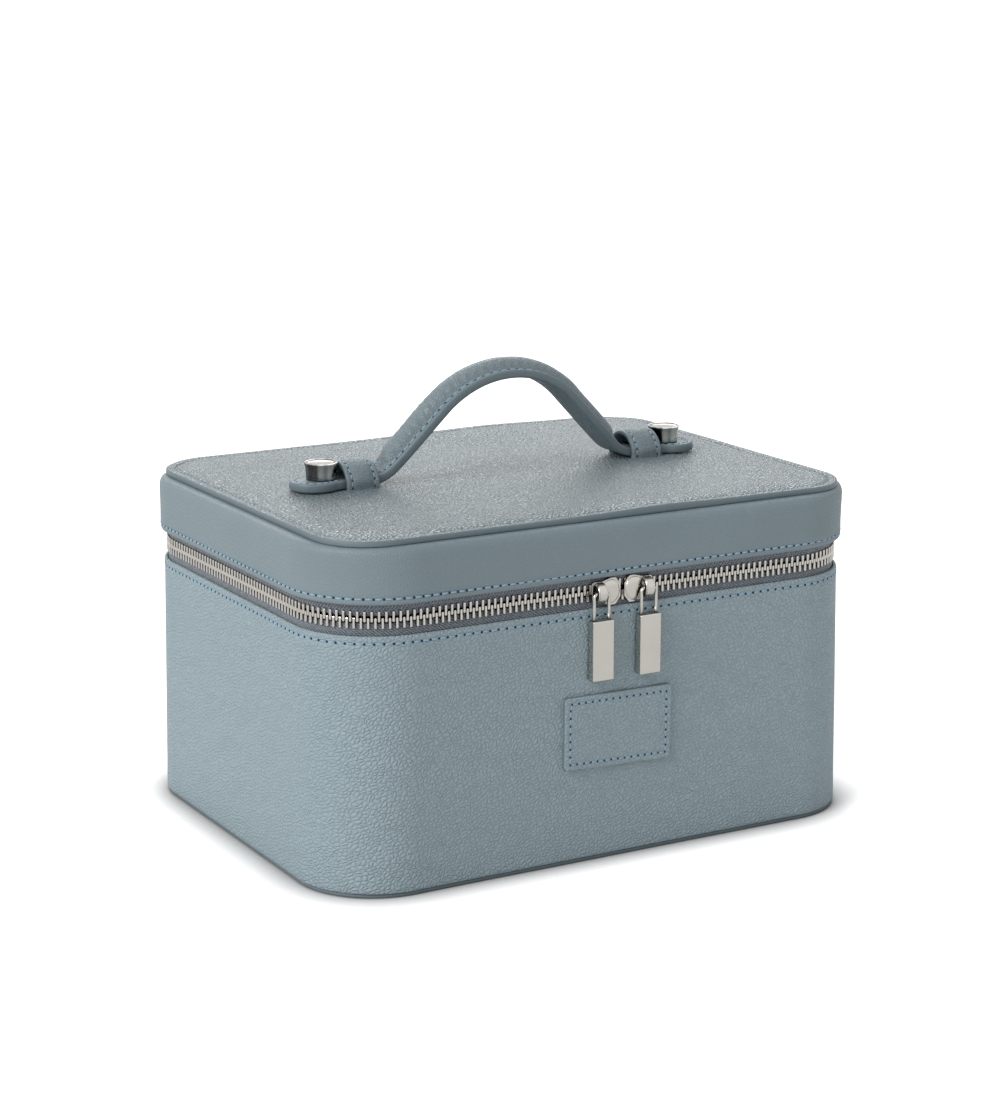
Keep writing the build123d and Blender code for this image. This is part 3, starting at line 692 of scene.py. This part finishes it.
def block(name, low, high, bevel, material):
    """A box with rounded edges."""
    mesh = bmesh.new()
    bmesh.ops.create_cube(mesh, size=1.0)
    size = [(h - l) * MM for l, h in zip(low, high)]
    middle = [(h + l) / 2 * MM for l, h in zip(low, high)]
    bmesh.ops.scale(mesh, vec=size, verts=mesh.verts)
    bmesh.ops.translate(mesh, vec=middle, verts=mesh.verts)
    bmesh.ops.bevel(mesh, geom=mesh.edges[:], offset=bevel * MM, segments=3,
                    profile=0.5, affect="EDGES")
    data = bpy.data.meshes.new(name)
    mesh.to_mesh(data)
    mesh.free()
    data.materials.append(material)
    data.polygons.foreach_set("use_smooth", [True] * len(data.polygons))
    made = bpy.data.objects.new(name, data)
    SCENE.collection.objects.link(made)
    made.modifiers.new("normals", "WEIGHTED_NORMAL").weight = 100
    return made


def make_studs():
    """Dished studs on the flat ends of the strap."""
    stud_x, dish_radius = 73.0 + 0.4 + 6.65, 5.95
    profile = [(0.0, 0.05), (5.5, 0.05), (5.85, 0.2), (5.95, 0.6), (6.0, 2.6), (6.2, 4.8),
               (6.5, 6.1), (6.62, 6.5), (6.64, 6.75), (6.52, 6.9), (6.3, 6.96), (6.05, 6.93),
               (5.9, 6.8), (5.8, 6.62), (4.5, 6.5), (2.5, 6.42), (0.0, 6.4)]
    for side, name in SIDES:
        centre = (side * stud_x, 0.0, STRAP_BOTTOM + STRAP_EDGE)
        made = turned("stud_" + name, profile, centre, STUD)
        made.data.materials.append(STUD_TOP)
        for face in made.data.polygons:
            middle = face.center / MM
            reach = math.hypot(middle.x - centre[0], middle.y)
            face.material_index = 1 if reach < dish_radius and middle.z > centre[2] + 5 else 0
        dress(made, "handle_end_" + name, "champagne_metal", "handle_stud_" + name)


def tube(name, path, radii, material, segments):
    """An oval tube (half across, half thick) along (place, across, outward) stations."""
    points = []
    for (place, across, outward), (wide, thick) in zip(path, radii):
        for s in range(segments):
            a = 2 * math.pi * s / segments
            points.append(Vector(place) + Vector(across) * (wide * math.cos(a))
                          + Vector(outward) * (thick * math.sin(a)))
    faces = quads(len(path), segments, ring_rows=True, flip=True)
    faces.append(tuple(range(segments)))
    faces.append(tuple(range(len(points) - segments, len(points)))[::-1])
    made = make_mesh(name, points, faces, [material])
    face_outward(made)
    return made


def make_crown(side, name):
    """Rounded hoop over the bridge and a domed nose on the front of a slider."""
    middle, face, reach = MEETING_X + side * 10.6, -DEPTH / 2 - 0.55, 3.4
    path, radii, steps = [], [], 24
    for i in range(steps + 1):
        a = math.pi * i / steps
        away = Vector((0, -math.sin(a), math.cos(a)))
        path.append((Vector((middle, face, ZIP_MIDDLE)) + away * reach, (1, 0, 0), away))
        radii.append((1.7 + 0.35 * math.sin(a) ** 2, 0.62))
    hoop = tube("crown_" + name, path, radii, NICKEL, 20)
    dress(hoop, "slider_" + name, "nickel")
    centre, segments = MEETING_X + side * 0.9 + side * 4.3, 40
    profile = [(0.02 + 3.9 * math.sin(math.radians(a)), 0.95 * math.cos(math.radians(a)) - 0.1)
               for a in range(0, 91, 9)]
    points = []
    for s in range(segments):
        a = 2 * math.pi * s / segments
        longer = 1.0 if math.cos(a) * side < 0 else 1.25
        points += [(centre + r * math.cos(a) * longer, face - h,
                    ZIP_MIDDLE + r * 1.18 * math.sin(a)) for r, h in profile]
    faces = quads(segments, len(profile), ring_columns=True)
    dome = make_mesh("slider_dome_" + name, points, faces, [NICKEL])
    face_outward(dome)
    dress(dome, "slider_" + name, "nickel")


def make_pullers():
    """Bare hanging blocks, their wire bails and the sliders' crowns."""
    for side, name in SIDES:
        low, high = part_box("puller_" + name)
        low, high = [c / MM for c in low], [c / MM for c in high]
        made = block("pull_block_" + name, low, high, 0.45, NICKEL)
        dress(made, "pull_" + name, "nickel", "puller_" + name)
        middle, across = (low[0] + high[0]) / 2, (low[1] + high[1]) / 2
        half, bend, top = 3.3, 1.5, ZIP_MIDDLE
        line = [(-half, high[2] - 1.0), (-half, high[2] + 3.0), (-half, top - bend)]
        line += [(-half + bend - bend * math.cos(math.radians(a)),
                  top - bend + bend * math.sin(math.radians(a))) for a in range(15, 91, 15)]
        line += [(-x, z) for x, z in line[::-1]]
        path = []
        for k, (x, z) in enumerate(line):
            before, after = line[max(0, k - 1)], line[min(len(line) - 1, k + 1)]
            run = Vector((after[0] - before[0], 0, after[1] - before[1])).normalized()
            path.append(((middle + x, across, z), (0, 1, 0), run.cross(Vector((0, 1, 0)))))
        wire = tube("bail_wire_" + name, path, [(0.7, 0.7)] * len(path), NICKEL, 12)
        dress(wire, "pull_" + name, "nickel", "bail_" + name)
        make_crown(side, name)


# ---- handle ----
TURN = math.radians(45)
HALF_SPAN, RISE, GRIP = 62.0, 37.9, 41.0
BOTH = (HALF_SPAN - RISE / math.tan(TURN)) / math.tan(TURN / 2)
FOOT = BOTH - GRIP
LEG = (RISE - BOTH * (1 - math.cos(TURN))) / math.sin(TURN)
HALF_STRAP = BOTH * TURN + LEG


def strap_route(distance):
    """Point under the strap and its slope, at a distance from the middle of the arch."""
    along = abs(distance)
    slope = min(along / GRIP, TURN)
    x, drop = GRIP * math.sin(slope), GRIP * (1 - math.cos(slope))
    run = min(max(along - GRIP * TURN, 0), LEG)
    x, drop = x + run * math.cos(TURN), drop + run * math.sin(TURN)
    if along > GRIP * TURN + LEG:
        slope = max(TURN - (along - GRIP * TURN - LEG) / FOOT, 0)
        x += FOOT * (math.sin(TURN) - math.sin(slope))
        drop += FOOT * (math.cos(slope) - math.cos(TURN))
    side = math.copysign(1, distance)
    return side * x + 2.3 * (1 - drop / RISE), STRAP_BOTTOM + RISE - drop, side * slope


def ease(value):
    """0 to 1, slow at both ends."""
    value = max(0.0, min(1.0, value))
    return value * value * (3 - 2 * value)


def strap_half(distance):
    """Half the strap's width."""
    return 8.5 - 1.3 * ease((abs(distance) - 50) / (HALF_STRAP - 50))


def strap_crown(distance):
    """Height of the strap's padding."""
    return 3.9 * (1 - ease((abs(distance) - 57) / 8.0)) + 0.25


def make_strap():
    """The strap: flat below, painted sides, sewn flanges and a padded crown that puckers."""
    stations = np.linspace(-HALF_STRAP, HALF_STRAP, 241)
    across = np.linspace(-1, 1, 33)
    points = []
    for s in stations:
        x, z, slope = strap_route(s)
        half, crown = strap_half(s), strap_crown(s)
        up = Vector((math.sin(slope), 0, math.cos(slope)))
        base = Vector((x, 0, z))
        section = [(-half + 0.5, 0.0), (-half + 0.12, 0.25), (-half, 0.8), (-half, 2.6),
                   (-half + 0.15, 3.15), (-half + 0.5, 3.38)]
        flange = half - 2.5
        top = []
        for t in across:
            y = t * (half - 0.9)
            inside = 1 - min(1.0, abs(y) / (flange - 0.2))
            lift = crown * (1 - (1 - inside) ** 2.2) ** 0.75 if inside > 0 else 0.0
            pull = math.exp(-((abs(y) - flange) / 0.55) ** 2)
            pucker = math.exp(-((abs(y) - flange + 1.7) / 1.3) ** 2) * min(1.0, crown / 2)
            wrinkle = pucker * (0.30 * math.sin(2 * math.pi * s / STITCH_PITCH + 0.7)
                                + 0.22 * noise.noise(Vector((s / 2.1, y / 3.0, 5.0))))
            lift += -0.22 * pull + wrinkle
            lift += 0.18 * noise.noise(Vector((s / 9.0, y / 6.0, 2.0)))
            top.append((y, 3.42 + lift))
        section += top
        section += [(-y, h) for y, h in section[:6][::-1]]
        for y, h in section:
            points.append(base + up * h + Vector((0, y, 0)))
    rows = len(points) // len(stations)
    faces = quads(len(stations), rows, ring_rows=True, flip=True)
    indices = [1 if j < 5 or rows - 6 <= j < rows - 1 else 0 for j in range(rows)]
    indices = indices * (len(stations) - 1) + [1, 1]
    faces += [tuple(range(rows))[::-1], tuple(range(len(points) - rows, len(points)))]
    piece = make_mesh("strap_leather", points, faces, [STRAP, EDGE], indices)
    face_outward(piece)
    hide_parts("handle_strap")
    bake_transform(piece)
    seam, sewn = Seam(), HALF_STRAP - 6
    for y_side in (-1, 1):
        path = []
        for i in range(round(2 * sewn / STITCH_PITCH) + 1):
            s = -sewn + i * STITCH_PITCH
            x, z, slope = strap_route(s)
            up = Vector((math.sin(slope), 0, math.cos(slope)))
            y = y_side * (strap_half(s) - 2.5)
            path.append((Vector((x, y, z)) + up * 3.28, up))
        seam.sew(path, radius=0.36)
    made = seam.make("strap_stitches")
    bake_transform(made)


def tab_outline(side):
    """Outline of a flat end seen from above: a neck that widens into a round paddle."""
    start, centre, tip_radius, neck = 62.4, 83.0, 10.0, 7.2
    neck_end, shoulder = centre - tip_radius - 1.5, math.acos(0.6)
    lower = [(start + (neck_end - start) * i / 7, -neck) for i in range(8)]
    for i in range(1, 8):
        t = i / 8
        lower.append((neck_end + 5.4 * t, -neck - (tip_radius * 0.80 - neck) * ease(t)))
    outline = list(lower)
    for i in range(33):
        a = -math.pi + shoulder + (2 * (math.pi - shoulder)) * i / 32
        outline.append((centre + tip_radius * math.cos(a), tip_radius * math.sin(a)))
    outline += [(x, -y) for x, y in lower[::-1]]
    return [(side * x, y) for x, y in outline]


def inner_outline(outline, inset):
    """A closed outline moved inward by inset."""
    count = len(outline)
    area = sum(outline[i][0] * outline[(i + 1) % count][1]
               - outline[(i + 1) % count][0] * outline[i][1] for i in range(count))
    turn = 1 if area > 0 else -1
    inner = []
    for i in range(count):
        before, after = outline[i - 1], outline[(i + 1) % count]
        dx, dy = after[0] - before[0], after[1] - before[1]
        length = math.hypot(dx, dy)
        inner.append((outline[i][0] - turn * dy / length * inset,
                      outline[i][1] + turn * dx / length * inset))
    return inner


def even_path(points, pitch, closed=False):
    """Points along a polyline at one even pitch."""
    if closed:
        points = points + [points[0]]
    runs = [0.0]
    for a, b in zip(points, points[1:]):
        runs.append(runs[-1] + math.dist(a, b))
    count = max(1, round(runs[-1] / pitch))
    path = []
    for i in range(count if closed else count + 1):
        target = runs[-1] * i / count
        k = min(max(1, int(np.searchsorted(runs, target))), len(runs) - 1)
        t = (target - runs[k - 1]) / max(1e-9, runs[k] - runs[k - 1])
        a, b = points[k - 1], points[k]
        path.append(tuple(p + (q - p) * t for p, q in zip(a, b)))
    return path


def make_tabs():
    """Flat round ends of the strap, past the loops."""
    low, edge_rows, sewn = STRAP_BOTTOM, 5, 2.3
    rings = [(0.7, low), (0.2, low + 0.12), (0.0, low + 0.6), (0.0, low + 2.6),
             (0.15, low + 3.1), (0.5, low + 3.38), (1.0, low + 3.42), (1.9, low + 3.36),
             (2.3, low + 3.2), (2.7, low + 3.36), (3.4, low + 3.42)]
    for side, name in SIDES:
        outline = tab_outline(side)
        count, rows = len(outline), len(rings)
        insets = [inner_outline(outline, inset) for inset, _ in rings]
        points = [(*insets[j][i], rings[j][1]) for i in range(count) for j in range(rows)]
        faces = quads(count, rows, ring_columns=True)
        faces += [tuple(i * rows for i in range(count)),
                  tuple(i * rows + rows - 1 for i in range(count))]
        indices = [1 if j < edge_rows else 0 for j in range(rows - 1)] * count + [1, 0]
        piece = make_mesh("tab_leather_" + name, points, faces, [STRAP, EDGE], indices)
        face_outward(piece)
        dress(piece, "handle_end_" + name, "handle_leather", "handle_tab_" + name)
        path = even_path([(x, y) for x, y in inner_outline(outline, sewn) if abs(x) > 74.5], 3.0)
        path = [((x, y, low + 3.25), (0, 0, 1)) for x, y in path]
        Seam().sew(path, radius=0.32, hole=0.4).make("tab_stitches_" + name,
                                                     "handle_end_" + name)


def make_loops():
    """Leather loops over the strap, puffed between two rows of stitches."""
    shoulder, top, half, loop_x = PANEL_TOP + 2.7, PANEL_TOP + 10.2, 9.6, 66.0
    arc = (half ** 2 + (top - shoulder) ** 2) / (2 * (top - shoulder))
    start = math.asin(half / arc)
    route = [(-half, 131.5), (-half, 136.0), (-half, 138.5), (-half, shoulder - 0.3)]
    for i in range(25):
        a = -start + 2 * start * i / 24
        route.append((arc * math.sin(a), top - arc + arc * math.cos(a)))
    route += [(-y, z) for y, z in route[:4][::-1]]
    route = even_path(route, 1.0)
    section = [(-7.0, -1.5), (-7.0, -0.35), (-6.8, -0.08), (-6.4, 0.0), (-5.5, 0.02),
               (-5.1, -0.18), (-4.9, -0.24), (-4.7, -0.16), (-4.0, 0.25), (-2.0, 0.5), (0.0, 0.56)]
    section += [(-x, h) for x, h in section[:-1][::-1]]
    for side, name in SIDES:
        points, rows = [], len(section)
        for k, (y, z) in enumerate(route):
            before, after = route[max(0, k - 1)], route[min(len(route) - 1, k + 1)]
            dy, dz = after[0] - before[0], after[1] - before[1]
            length = math.hypot(dy, dz)
            ny, nz = -dz / length, dy / length
            for x, h in section:
                low_part = ease((z - 137.5) / 3)
                lift = h if h < 0 else h * low_part
                lift += 0.14 * noise.noise(Vector((x / 3, y / 3, z / 3 + side)))
                points.append((side * loop_x + x, y + ny * lift, z + nz * lift))
        faces = quads(len(route), rows, ring_rows=True, flip=True)
        edges = (0, 1, rows - 3, rows - 2)
        indices = [1 if j in edges else 0 for j in range(rows)] * (len(route) - 1)
        piece = make_mesh("loop_leather_" + name, points, faces, [STRAP, EDGE], indices)
        face_outward(piece)
        dress(piece, "lid", "handle_leather", "handle_loop_" + name)
        seam = Seam()
        for offset in (-4.9, 4.9):
            path = []
            for y, z in even_path([p for p in route if p[1] > PANEL_TOP + 0.6], 3.0):
                away = Vector((0, y, z - (top - arc))).normalized()
                if z < shoulder:
                    away = Vector((0, math.copysign(1, y), 0))
                path.append((Vector((side * loop_x + offset, y, z)) - away * 0.12, away))
            seam.sew(path, radius=0.32, hole=0.4)
        seam.make("loop_stitches_" + name, "lid")


# ---- patch, hinge ----
def make_patch():
    """A bare sewn patch, set a little out of square."""
    corners = [(-24.2, 38.1), (24.3, 36.6), (24.5, 66.7), (-24.1, 67.2)]
    wide, tall, rounding, sewn, edge_rows = 48.5, 29.5, 1.6, 2.6, 2
    near = [0.0, 0.0, 0.15, 0.4, 0.8, 1.4, 2.0, 2.35, 2.6, 2.85, 3.2, 4.0]
    heights = [-0.3, 0.9, 1.25, 1.45, 1.52, 1.54, 1.5, 1.4, 1.33, 1.4, 1.5, 1.56]

    def steps(size):
        middle = list(np.linspace(near[-1], size - near[-1], 14))[1:-1]
        return near + middle + [size - v for v in near[::-1]]

    def on_wall(u, v):
        """Across and height of the point u along and v up the patch."""
        s, t = u / wide, v / tall
        return tuple((1 - s) * (1 - t) * c0 + s * (1 - t) * c1 + s * t * c2 + (1 - s) * t * c3
                     for c0, c1, c2, c3 in zip(*corners))

    def rounded(u, v):
        """The same point, drawn in where a corner is rounded."""
        cu, cv = min(max(u, rounding), wide - rounding), min(max(v, rounding), tall - rounding)
        du, dv = u - cu, v - cv
        reach = math.hypot(du, dv)
        if not (reach > rounding * 0.999 and du and dv):
            return u, v
        square = max(abs(du), abs(dv))
        return cu + du / reach * square, cv + dv / reach * square

    us, vs = steps(wide), steps(tall)
    columns, rows = len(us), len(vs)
    points, indices, uvs = [], [], []
    for i, u in enumerate(us):
        for j, v in enumerate(vs):
            edge = min(i, j, columns - 1 - i, rows - 1 - j)
            across, up = on_wall(*rounded(u, v))
            height = heights[min(edge, len(heights) - 1)]
            points.append((across, -DEPTH / 2 - 0.35 - height, up))
    for i in range(columns - 1):
        for j in range(rows - 1):
            uvs += [(us[i], vs[j]), (us[i + 1], vs[j]), (us[i + 1], vs[j + 1]),
                    (us[i], vs[j + 1])]
            indices.append(1 if min(i, j, columns - 2 - i, rows - 2 - j) < edge_rows else 0)
    piece = make_mesh("patch_leather", points, quads(columns, rows), [WALL, EDGE], indices, uvs)
    dress(piece, "base", "grained_leather", "front_patch")
    ring = [on_wall(u, v) for u, v in ((sewn, sewn), (wide - sewn, sewn),
                                       (wide - sewn, tall - sewn), (sewn, tall - sewn))]
    path = [((x, -DEPTH / 2 - 1.72, z), (0, -1, 0)) for x, z in even_path(ring, 3.1, True)]
    Seam().sew(path, closed=True, radius=0.36, hole=0.46).make("patch_stitches", "base")


def make_hinge():
    """Leather across the back."""
    profile = [(90.9, 93.0), (90.9, 98.0), (90.95, 101.0), (91.2, 103.5), (91.3, 106.7),
               (91.2, 109.9), (90.95, 112.4), (90.9, 115.0), (90.9, 120.4)]
    dense = even_path(profile, 0.9)
    tucked = [84.4, 85.2, 87.0, 89.0, 91.0, 92.6]
    columns = [-x for x in tucked[::-1]] + list(np.linspace(-83.6, 83.6, 41)) + tucked
    points = []
    for x in columns:
        inward = 0.95 * ease((abs(x) - 83.6) / 1.4)
        beyond = max(0.0, abs(x) - 85.0)
        inward += RADIUS - math.sqrt(RADIUS ** 2 - beyond ** 2)
        for y, z in dense:
            points.append((x, y - inward + wobble(x, y, z, 12.0, 0.05), z))
        for y, z in dense[::-1]:
            points.append((x, 90.25 + (y - 90.9) * 0.6 - inward, z))
    rows = 2 * len(dense)
    faces = quads(len(columns), rows, ring_rows=True, flip=True)
    faces += [tuple(range(rows)), tuple(range(len(points) - rows, len(points)))]
    piece = make_mesh("hinge_strip", points, faces, [HINGE])
    face_outward(piece)
    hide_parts("back_hinge")
    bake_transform(piece)


make_base()
make_bottom()
make_band()
make_panel()
make_tapes()
make_teeth()
make_studs()
make_pullers()
make_strap()
make_tabs()
make_loops()
make_patch()
make_hinge()

paint(NICKEL, "slider_left", "slider_right", "zip_stops_lower", "zip_stops_upper")
paint(STUD, "stud_screw_left", "stud_screw_right")
paint(BOARD, "base_wall_board", "base_floor_board", "lid_wall_board", "lid_top_board")
paint(FOAM, "lid_top_padding")
paint(LINING, "base_wall_lining", "base_floor_lining", "lid_wall_lining", "lid_top_lining")


# ---- floor and light ----
def make_floor():
    """White floor with a painted contact shadow close to what stands on it."""
    bpy.ops.mesh.primitive_plane_add(size=60, location=(0, 0, 0))
    floor = bpy.context.object
    floor.name = "floor"
    n = new_material("floor_white")
    near = n.add("AmbientOcclusion", {"Distance": 0.018}, samples=12).outputs["AO"]
    # painted shadow: dark floor colour and no glow where the case stands close
    clear_of_painted_shadow = n.span(near, 0.42, 1.0, kind="LINEAR")
    tint = n.mix(clear_of_painted_shadow, (0.36, 0.36, 0.36, 1), (0.92, 0.92, 0.92, 1))
    n.set(Base_Color=tint, Roughness=0.9, Specular_IOR_Level=0.0)
    path = n.add("LightPath")
    seen = n.math("MULTIPLY", path.outputs["Is Camera Ray"], n.math("MULTIPLY", clear_of_painted_shadow, 0.6))
    glow = n.add("Emission", {"Color": (1, 1, 1, 1), "Strength": seen})
    both = n.add("AddShader", {0: n.shader.outputs[0], 1: glow.outputs[0]})
    n.put(n.tree.nodes["Material Output"].inputs["Surface"], both.outputs[0])
    floor.data.materials.append(n.owner)


def make_world():
    """White where it is seen or mirrored, and a plain grey as a light."""
    n = Nodes(bpy.data.worlds.new("studio"), "Background")
    path = n.add("LightPath")
    seen = n.math("MAXIMUM", path.outputs["Is Camera Ray"], path.outputs["Is Glossy Ray"])
    n.set(Color=(1, 1, 1, 1), Strength=n.span(seen, 0.0, 1.0, 0.46, 1.0, kind="LINEAR"))
    SCENE.world = n.owner


def make_lights():
    """Two wide lamps: the key from the left, a weaker one from behind."""
    def sun(name, direction, strength, spread):
        data = bpy.data.lights.new(name, "SUN")
        data.energy = strength
        data.angle = math.radians(spread)
        lamp = bpy.data.objects.new(name, data)
        lamp.rotation_euler = Vector(direction).to_track_quat("-Z", "Y").to_euler()
        SCENE.collection.objects.link(lamp)

    sun("key_left", (0.82, 0.17, -0.60), 1.9, 32)
    sun("back", (-0.40, -0.80, -0.58), 0.75, 36)


make_floor()
make_world()
make_lights()
